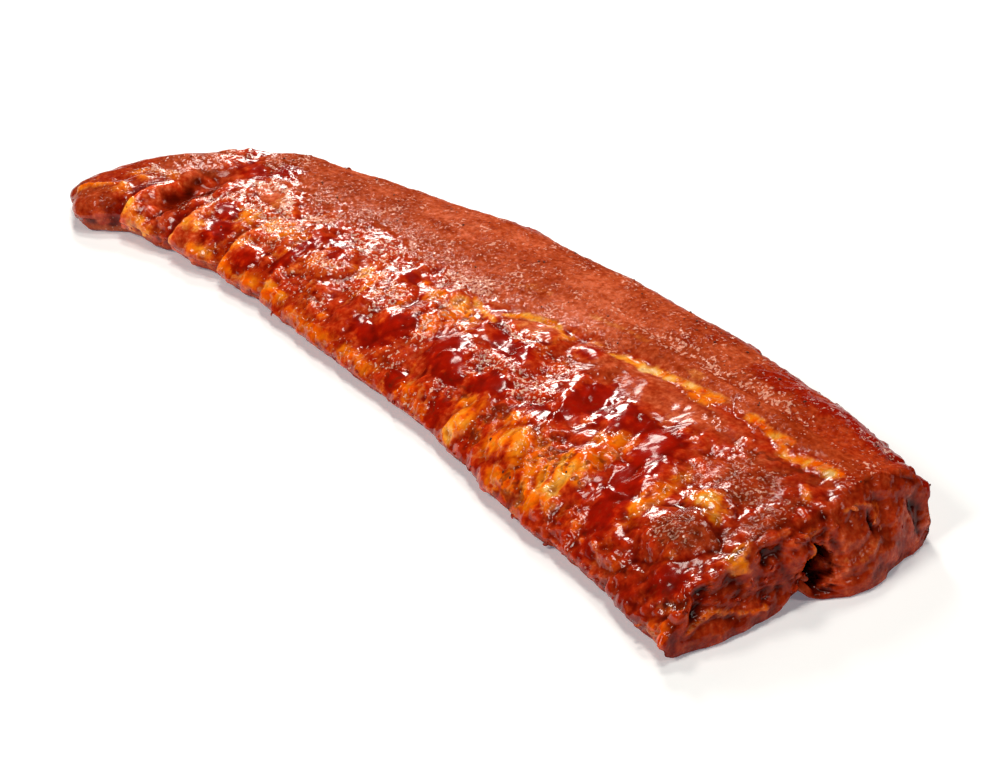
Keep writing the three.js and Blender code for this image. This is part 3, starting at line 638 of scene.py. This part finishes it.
# In the sauce, the hollow term on the cut and the pocket term thicken it, darkening the colour there as
# painted shade.
fields = {
    "sauce": loin_sauce * loin + rib_sauce * rib_side
    + fat * (1.2 - 0.45 * thin + 0.8 * np.clip(strands + 0.6 * middle + 0.5 * small, -0.45, 0.8))
    + 1.5 * sauce + 0.8 * pool + 0.3 * broad
    + (0.9 + 0.9 * middle + 0.9 * broad - 0.3 * bones) * on_under
    + (1.15 + 0.5 * hollow) * on_cut * (1 - 0.4 * cut_fat)
    + 0.9 * pocket + 0.6 * ease((phase - 0.8) / 0.15) * overlap - 0.75 * seam
    + 0.1 * tip + 0.4 * tip * (1 - on_top)
    - 0.22 * rib_side * (1 - ease((x + 130) / 60)) - 0.12 * far_ribs + (0.2 + 0.8 * middle) * low_front,
    "fat": fat / np.maximum(fat.max(), 1e-6),
    "matte": np.clip(
        loin * (1 - back_strip) * (1 - 0.4 * ease((x - 140) / 45)) + 0.8 * dry + 0.7 * smooth
        + 0.35 * on_cut + 0.5 * tip * (1 - 0.7 * on_top) + 0.5 * pocket + 0.7 * on_under
        + 0.3 * low_front, 0, 1)
    * (1 - pool),
    "char": char * outside,
    "gloss": (1 - 0.75 * calm) * np.clip(
        (0.04 + 0.35 * sheen + back_strip * (0.55 + 0.5 * fibres)) * loin
        + 0.95 * rib_side * (1 - 0.85 * dry) * (1 - 0.5 * smooth)
        + 0.9 * pool + 0.4 * on_cut + 0.3 * on_under - pocket - 0.6 * seam - 0.8 * char
        + 0.3 * side, 0, 1),
    "specks_and_painted_glints": np.clip(
        (0.4 + 0.05 * sheen + 0.7 * middle + 0.4 * broad) * loin
        * (1 - 0.7 * smooth) * (1 - 0.6 * back_strip) * (1 - 0.4 * side)
        + (0.75 + 0.15 * far_ribs) * painted_glint_frost * (1 - 0.6 * smooth) + 0.1 * low_front
        + 0.4 * dry + 1.1 * painted_fold_sheen + 0.3 * on_under, 0, 1.3),
    "grain": np.clip(
        0.8 * loin * (1 - 0.6 * smooth) * (1 - 0.8 * back_strip)
        + 0.3 * on_cut + 0.4 * rough + 0.5 * dry - 0.5 * pool, 0.03, 1),
    # Tone: the darkening in hollows, in the cut's torn hollows, in the pocket and in the band low by the
    # floor is painted shade; the rest is the meat's own uneven tone.
    "tone_and_painted_shade": 1 - (0.16 - 0.2 * broad - 0.1 * middle) * on_under - 0.2 * near - 0.02 * low_front
    - 0.16 * mound - (0.25 + 0.45 * hollow + 0.55 * cut_painted_shade) * on_cut
    - 0.5 * hollow * rib_side - 0.04 * outside - 0.08 * broad * loin
    - 0.38 * pocket - 0.07 * (1 - ease((x + 120) / 80)) * loin
    - 0.35 * ease((6 - z) / 6) * outside - 0.1 * tip - 0.3 * tip * (1 - on_top),
}


def closed_tubes(name, loops, first, last):
    """Bodies of loops joined by quads; a fan from each end loop to its own pole closes each of them."""
    n, u, v = loops.shape[:3]
    body, ring, column = np.meshgrid(np.arange(n), np.arange(u - 1), np.arange(v), indexing="ij")
    a = (body * u + ring) * v + column
    b = (body * u + ring) * v + (column + 1) % v
    quads = np.stack([a, a + v, b + v, b], axis=-1).reshape(-1, 4)
    body, column = np.meshgrid(np.arange(n), np.arange(v), indexing="ij")
    c, d = body * u * v + column, body * u * v + (column + 1) % v
    pole, reach = n * u * v + body, (u - 1) * v
    fans = np.concatenate([
        np.stack([pole, c, d], axis=-1), np.stack([pole + n, d + reach, c + reach], axis=-1)
    ]).reshape(-1, 3)
    mesh = bpy.data.meshes.new(name)
    verts = np.concatenate([loops.reshape(-1, 3), first, last])
    mesh.from_pydata(verts.tolist(), [], quads.tolist() + fans.tolist())
    mesh.polygons.foreach_set("use_smooth", np.ones(len(mesh.polygons), bool))
    obj = bpy.data.objects.new(name, mesh)
    bpy.context.scene.collection.objects.link(obj)
    return obj


def placed(millimetres):
    """(Point + shift) / 1000, in metres: the shift brings the middle of the footprint to x = y = 0."""
    return (millimetres + [-0.983, 2.80, 0.0]) / 1000


tip_pole = points[0].mean(axis=0) - [0.3, 0, 0]
cut_pole = points[-1].mean(axis=0)
rack = closed_tubes("glazed_ribs", *(placed(v)[None] for v in (points, tip_pole, cut_pole)))
for name, field in fields.items():
    values = np.concatenate([field.ravel(), [field[0].mean(), field[-1].mean()]]).astype(np.float32)
    rack.data.attributes.new(name, "FLOAT", "POINT").data.foreach_set("value", values)

# Meat and fat seen through the sauce, with pores, burnt spots and pale beads painted as glints, under a
# gloss coat.
glaze = bpy.data.materials.new("glazed_meat")
glaze.use_nodes = True
nodes, links = glaze.node_tree.nodes, glaze.node_tree.links
shader = nodes["Principled BSDF"]
coords = nodes.new("ShaderNodeTexCoord")


def noise_node(scale, detail):
    """Noise on Object coordinates, with this many cells to the metre."""
    node = nodes.new("ShaderNodeTexNoise")
    node.inputs["Scale"].default_value = scale
    node.inputs["Detail"].default_value = detail
    node.inputs["Roughness"].default_value = 0.55
    links.new(coords.outputs["Object"], node.inputs["Vector"])
    return node.outputs["Fac"]


def read(name):
    """The value that the surface carries under this name."""
    node = nodes.new("ShaderNodeAttribute")
    node.attribute_name = name
    return node.outputs["Fac"]


def math(kind, a, b=0.0, c=0.0):
    """One calculation on sockets or numbers; MULTIPLY_ADD is a b + c."""
    node = nodes.new("ShaderNodeMath")
    node.operation = kind
    for socket, value in zip(node.inputs, (a, b, c)):
        if isinstance(value, (int, float)):
            socket.default_value = value
        else:
            links.new(value, socket)
    return node.outputs[0]


def mix(factor, a, b, kind="MIX"):
    """Colour a + factor (b - a), or a (1 + factor (b - 1)) where it multiplies."""
    node = nodes.new("ShaderNodeMix")
    node.data_type = "RGBA"
    node.blend_type = kind
    for socket, value in ((node.inputs[0], factor), (node.inputs[6], a), (node.inputs[7], b)):
        if isinstance(value, (int, float)):
            socket.default_value = value
        elif isinstance(value, tuple):
            socket.default_value = (*value, 1)
        else:
            links.new(value, socket)
    return node.outputs[2]


# Sauce colours what is under it: colour = meat or fat times tint^thickness.
coarse_noise = noise_node(150, 2)
fine_noise = noise_node(480, 2)
fat_here = math("MULTIPLY_ADD", math("SUBTRACT", fine_noise, 0.5), 0.35, read("fat"))
fat_edge = nodes.new("ShaderNodeMapRange")
fat_edge.interpolation_type = "SMOOTHSTEP"
links.new(fat_here, fat_edge.inputs["Value"])
fat_edge.inputs["From Min"].default_value = 0.05
fat_edge.inputs["From Max"].default_value = 0.75
meat_colour = mix(fine_noise, (0.52, 0.085, 0.03), (0.72, 0.16, 0.07))
fat_colour = mix(coarse_noise, (0.95, 0.5, 0.18), (1.0, 0.7, 0.34))
under_sauce = mix(fat_edge.outputs["Result"], meat_colour, fat_colour)
uneven = math("MULTIPLY_ADD", math("SUBTRACT", fine_noise, 0.5), -2.2, math("SUBTRACT", coarse_noise, 0.5))
uneven = math("MULTIPLY", uneven, math("MULTIPLY_ADD", fat_edge.outputs["Result"], -0.65, 1.0))
thickness = math("ADD", uneven, read("sauce"))
thickness = math("MINIMUM", math("MAXIMUM", thickness, 0.03), 2.0)
clear = nodes.new("ShaderNodeGamma")
meat_tint = mix(read("matte"), (0.71, 0.21, 0.065), (0.62, 0.37, 0.2))
tint = mix(fat_edge.outputs["Result"], meat_tint, (0.82, 0.265, 0.012))
links.new(tint, clear.inputs["Color"])
links.new(thickness, clear.inputs["Gamma"])
seen = mix(1.0, under_sauce, clear.outputs["Color"], "MULTIPLY")


def steep(value, start, slope):
    """(value - start) * slope, held between 0 and 1."""
    grown = math("MULTIPLY", math("SUBTRACT", value, start), slope)
    return math("MINIMUM", math("MAXIMUM", grown, 0.0), 1.0)


# Beads with a pale colour painted as glints, pores, burnt spots and the wrinkles of the fat with
# cream lines painted as highlights lie over it.
bead_noise = noise_node(640, 1)
pore_noise = noise_node(560, 1)
beads_and_painted_glints = steep(math("MULTIPLY_ADD", read("specks_and_painted_glints"), 0.24, bead_noise), 0.735, 10.0)
beads_and_painted_glints = math("MULTIPLY", beads_and_painted_glints, steep(read("specks_and_painted_glints"), 0.08, 6.0))
pores = steep(math("MULTIPLY_ADD", pore_noise, -1.0, math("MULTIPLY", read("matte"), 0.06)), -0.38, 9.0)
burnt = steep(math("MULTIPLY_ADD", read("char"), 0.25, noise_node(260, 1.5)), 0.66, 9.0)
burnt = math("MULTIPLY", burnt, steep(read("char"), 0.05, 5.0))
# The cream lines along the fat's wrinkles are painted highlights; the wrinkles also stand up as bump.
wrinkles_and_painted_highlights = math(
    "SUBTRACT", 1.0, steep(math("ABSOLUTE", math("SUBTRACT", noise_node(120, 2), 0.5)), 0.0, 26.0)
)
wrinkles_and_painted_highlights = math("MULTIPLY", wrinkles_and_painted_highlights, fat_edge.outputs["Result"])
seen = mix(math("MULTIPLY", wrinkles_and_painted_highlights, 0.2), seen, (1.0, 0.66, 0.24))
seen = mix(math("MULTIPLY", pores, 0.3), seen, (0.25, 0.03, 0.01))
seen = mix(math("MULTIPLY", burnt, 0.7), seen, (0.17, 0.014, 0.004))
painted_glint_colour = mix(read("matte"), (0.95, 0.58, 0.43), (0.95, 0.44, 0.31))
seen = mix(math("MULTIPLY", beads_and_painted_glints, math("MULTIPLY_ADD", read("matte"), -0.05, 0.75)), seen, painted_glint_colour)
# Darken by the tone, which also holds painted shade.
tone_and_painted_shade = nodes.new("ShaderNodeVectorMath")
tone_and_painted_shade.operation = "SCALE"
links.new(seen, tone_and_painted_shade.inputs[0])
links.new(read("tone_and_painted_shade"), tone_and_painted_shade.inputs["Scale"])
links.new(tone_and_painted_shade.outputs["Vector"], shader.inputs["Base Color"])

# The coat is weak where the surface is dull; beads, wrinkles and fine grain stand up as bump.
lumpy_noise = noise_node(350, 0)
speck_noise = noise_node(520, 0.5)
gloss = math("MINIMUM", math("MULTIPLY_ADD", beads_and_painted_glints, 0.25, read("gloss")), 1.0)
links.new(math("MULTIPLY_ADD", gloss, -0.15, 0.6), shader.inputs["Roughness"])
shader.inputs["Specular IOR Level"].default_value = 0.0
links.new(gloss, shader.inputs["Coat Weight"])
shader.inputs["Coat Roughness"].default_value = 0.14
shader.inputs["Coat IOR"].default_value = 1.42
shader.inputs["IOR"].default_value = 1.42
bump = nodes.new("ShaderNodeBump")
bump.inputs["Distance"].default_value = 0.0012
bump.inputs["Strength"].default_value = 1.0
height = math("MULTIPLY", math("ADD", speck_noise, lumpy_noise), read("grain"))
height = math("MULTIPLY_ADD", wrinkles_and_painted_highlights, 0.2, math("MULTIPLY_ADD", beads_and_painted_glints, 0.15, height))
links.new(height, bump.inputs["Height"])
links.new(bump.outputs["Normal"], shader.inputs["Normal"])
links.new(bump.outputs["Normal"], shader.inputs["Coat Normal"])
rack.data.materials.append(glaze)
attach(rack, "root")
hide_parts("rib_rack")


# ---- Torn shreds -------------------------------------------------------------------------------
# Small nubs, flaps and fibres of meat that stand off the chine edge, the cut's rim and the rib tips.
# Each is a flat tapering tube that starts inside the meat and leans along the surface.

rng = np.random.default_rng(11)
rooted = [
    # x, y, z of the root; lean in x, y, z; length; half width
    (-22, 64, 20, -1, 0.1, 0.2, 6, 1.5), (137, 68, 22, -0.6, 0.1, 0.6, 3.2, 2.2),
    (143, 67, 22, -1, 0.2, 0.4, 3, 1.6), (154, 64, 25, 1, 0.15, -0.3, 5, 1.8),
    (205, 56, 26, 1, 0.6, 0.1, 5, 2), (211, 50, 30, 1, 0.2, 0.4, 4, 1.4),
    (-168, 30, 20, -0.7, 0.3, 0.8, 4, 1.6), (-150, 38, 20, 1, 0.2, 0.5, 4, 1.2),
    (-60, 60, 20, 0.9, 0.2, 0.4, 4.5, 1.1), (222, -17, 30, 0.8, 0.3, 0.5, 5, 1.6),
    (224, -30, 32, 0.9, -0.4, 0.3, 4.5, 1.5), (222, 12, 32, 0.9, 0.3, 0.2, 4, 1.2),
    (222, -12, 10, 1, 0.5, 0.1, 5, 1.3), (222, -4, 3, 0.8, 0.8, 0.1, 5, 1.3),
    (224, -60, 12, 0.8, -0.6, 0.2, 4, 1.2),
]
# More of them along the rib tips, then on the cut face.
more = 26
for place in np.linspace(-175, 205, more) + rng.uniform(-6, 6, more):
    edge = rib_tip_edge(place) - 0.5
    rooted.append((
        place, edge, rng.uniform(3, 9), rng.uniform(-1, 1), -0.5, rng.uniform(-0.5, 0.3),
        rng.uniform(2, 4), rng.uniform(0.6, 1.3),
    ))
for place in rng.uniform(-70, 48, more):
    rooted.append((
        223, place, rng.uniform(4, 30), 0.6, rng.uniform(-1, 1), rng.uniform(-0.8, 0.8),
        rng.uniform(2, 4.5), rng.uniform(0.5, 1.2),
    ))
rooted = np.array(rooted, float)
flat, facing = points.reshape(-1, 3), outward(points).reshape(-1, 3)
# Each root moves to the nearest point of the rack, and its lean is laid down along the surface.
found = np.array([np.argmin(np.sum((flat - row[:3]) ** 2, axis=1)) for row in rooted])
root, up = flat[found], facing[found]
lean = rooted[:, 3:6] - 0.8 * up * np.sum(rooted[:, 3:6] * up, axis=1, keepdims=True)
lean = lean / np.linalg.norm(lean, axis=1, keepdims=True)
broadside = np.cross(lean, up)
broadside = broadside / np.linalg.norm(broadside, axis=1, keepdims=True)
t = np.linspace(0.03, 0.97, 12)[None, :, None, None]
angle = np.linspace(0, 2 * np.pi, 12, endpoint=False)[None, None, :, None]
size, wide = rooted.T[6:, :, None, None, None]
root, lean, up, broadside = (v[:, None, None, :] for v in (root, lean, up, broadside))
bend = rng.uniform(-0.5, 0.5, len(rooted))[:, None, None, None]
centre = root - 0.9 * up + lean * size * (t - 0.15)
centre = centre + up * size * 0.22 * np.sin(np.pi * t) + broadside * bend * size * t**2
taper = np.sqrt(np.clip(1 - (2 * t - 1) ** 2, 0, 1)) * (1 - 0.35 * t)
thick = np.cross(broadside, lean)
shred_loops = centre + wide * taper * (broadside * np.cos(angle) + 0.5 * thick * np.sin(angle))
shred_loops = shred_loops + 0.25 * wide * taper * cloud(shred_loops, 1.8, 71, 1)[..., None] * up
shred_loops[..., 2] = np.maximum(shred_loops[..., 2], 0.1)
shred_ends = [shred_loops[:, i].mean(axis=1) for i in (0, -1)]
shreds = closed_tubes("torn_shreds", *(placed(v) for v in (shred_loops, *shred_ends)))
# One value for each shred, between these two.
per_body = shred_loops.shape[1] * shred_loops.shape[2]
for name, low, high in (
    ("sauce", 0.6, 1.8), ("fat", -0.3, 0.35), ("matte", 0.1, 0.5), ("char", 0, 0.3),
    ("gloss", 0.4, 0.9), ("specks_and_painted_glints", 0, 0.2), ("grain", 0.2, 0.4), ("tone_and_painted_shade", 0.6, 0.95),
):
    value = rng.uniform(low, high, len(rooted))
    values = np.concatenate([np.repeat(value, per_body), value, value]).astype(np.float32)
    shreds.data.attributes.new(name, "FLOAT", "POINT").data.foreach_set("value", values)
shreds.data.materials.append(glaze)
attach(shreds, "root")


# ---- Pepper flecks -----------------------------------------------------------------------------
# Coarse black pepper and charred crumbs stuck in the sauce: flat uneven grains, half sunk.

count = 110
rng = np.random.default_rng(23)
weight = (on_top * outside * (0.3 + loin) * (x > -225)).ravel()
place = rng.choice(weight.size, count, p=weight / weight.sum())
grain_up = facing[place][:, None, None, :]
grain_side = np.cross(grain_up, rng.normal(size=(count, 1, 1, 3)))
grain_side = grain_side / np.linalg.norm(grain_side, axis=-1, keepdims=True)
grain_other = np.cross(grain_side, grain_up)
latitude = np.linspace(0.12, 0.88, 6)[None, :, None, None] * np.pi
angle = np.linspace(0, 2 * np.pi, 8, endpoint=False)[None, None, :, None]
ball = (
    grain_up * -0.5 * np.cos(latitude) + grain_side * np.sin(latitude) * np.cos(angle)
    - 0.7 * grain_other * np.sin(latitude) * np.sin(angle)
)
radius = rng.uniform(0.3, 0.75, count)[:, None, None, None]
bumpy = 1 + 0.5 * cloud(ball * 1.3 + 7 * np.arange(count)[:, None, None, None], 1.1, 83, 1)[..., None]
grains = flat[place][:, None, None, :] + 0.1 * grain_up + radius * ball * bumpy
grain_ends = [grains[:, i].mean(axis=1) for i in (0, -1)]
pepper = closed_tubes("pepper_flecks", *(placed(v) for v in (grains, *grain_ends)))

# The node helpers work on the material that nodes, links and coords belong to.
black = bpy.data.materials.new("pepper")
black.use_nodes = True
nodes, links = black.node_tree.nodes, black.node_tree.links
shader = nodes["Principled BSDF"]
coords = nodes.new("ShaderNodeTexCoord")
links.new(mix(noise_node(900, 2), (0.02, 0.006, 0.003), (0.16, 0.03, 0.012)), shader.inputs["Base Color"])
shader.inputs["Roughness"].default_value = 0.55
shader.inputs["Specular IOR Level"].default_value = 0.2
pepper.data.materials.append(black)
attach(pepper, "root")


# ---- Floor, lights and camera ------------------------------------------------------------------
# A plain pale floor that glows faintly. Seven soft boxes stand round the rack: those beyond its far
# end draw the highlights, those in front and above fill the sides. The camera is off the cut end,
# 30 degrees above the floor.

floor_mesh = bpy.data.meshes.new("floor")
floor_mesh.from_pydata([(-4, -4, 0), (4, -4, 0), (4, 4, 0), (-4, 4, 0)], [], [(0, 1, 2, 3)])
floor = bpy.data.objects.new("floor", floor_mesh)
bpy.context.scene.collection.objects.link(floor)
pale = bpy.data.materials.new("pale_floor")
pale.use_nodes = True
shader = pale.node_tree.nodes["Principled BSDF"]
shader.inputs["Base Color"].default_value = (0.95, 0.95, 0.95, 1)
shader.inputs["Roughness"].default_value = 1.0
shader.inputs["Specular IOR Level"].default_value = 0.0
shader.inputs["Emission Color"].default_value = (0.6, 0.8, 1.0, 1)
shader.inputs["Emission Strength"].default_value = 0.15
floor_mesh.materials.append(pale)

world = bpy.data.worlds.new("studio")
world.use_nodes = True
backdrop = world.node_tree.nodes["Background"]
backdrop.inputs["Color"].default_value = (1, 1, 1, 1)
backdrop.inputs["Strength"].default_value = 0.012
bpy.context.scene.world = world

# Direction from the rack, distance and side in metres, power in watts.
for name, direction, distance, size, power in (
    ("key_box", (-0.70, 0.35, 0.62), 1.4, 0.24, 6), ("far_box", (-0.85, 0.50, 0.32), 1.4, 0.24, 4),
    ("high_box", (-0.35, 0.15, 0.92), 1.6, 0.3, 7), ("top_box", (0.1, 0, 1), 1.8, 0.4, 8),
    ("front_box", (0.1, -0.75, 0.65), 1.8, 0.45, 14), ("back_box", (-0.2, 0.9, 0.5), 1.6, 0.3, 3),
    ("right_box", (0.75, 0.1, 0.65), 1.8, 0.4, 5),
):
    lamp = bpy.data.lights.new(name, "AREA")
    lamp.shape = "SQUARE"
    lamp.size = size
    lamp.energy = power
    lamp.color = (1.0, 0.95, 0.87)
    obj = bpy.data.objects.new(name, lamp)
    obj.location = np.array(direction) / np.linalg.norm(direction) * distance
    obj.rotation_mode = "QUATERNION"
    obj.rotation_quaternion = obj.location.to_track_quat("Z", "Y")
    bpy.context.scene.collection.objects.link(obj)

lens = bpy.data.cameras.new("camera")
lens.lens = 100
lens.sensor_width = 36
camera = bpy.data.objects.new("camera", lens)
camera.location = (0.83521, -0.6078, 0.5855)
camera.rotation_euler = (np.radians(60), 0, np.radians(53.24))
bpy.context.scene.collection.objects.link(camera)
bpy.context.scene.camera = camera
bpy.context.scene.view_settings.view_transform = "Standard"
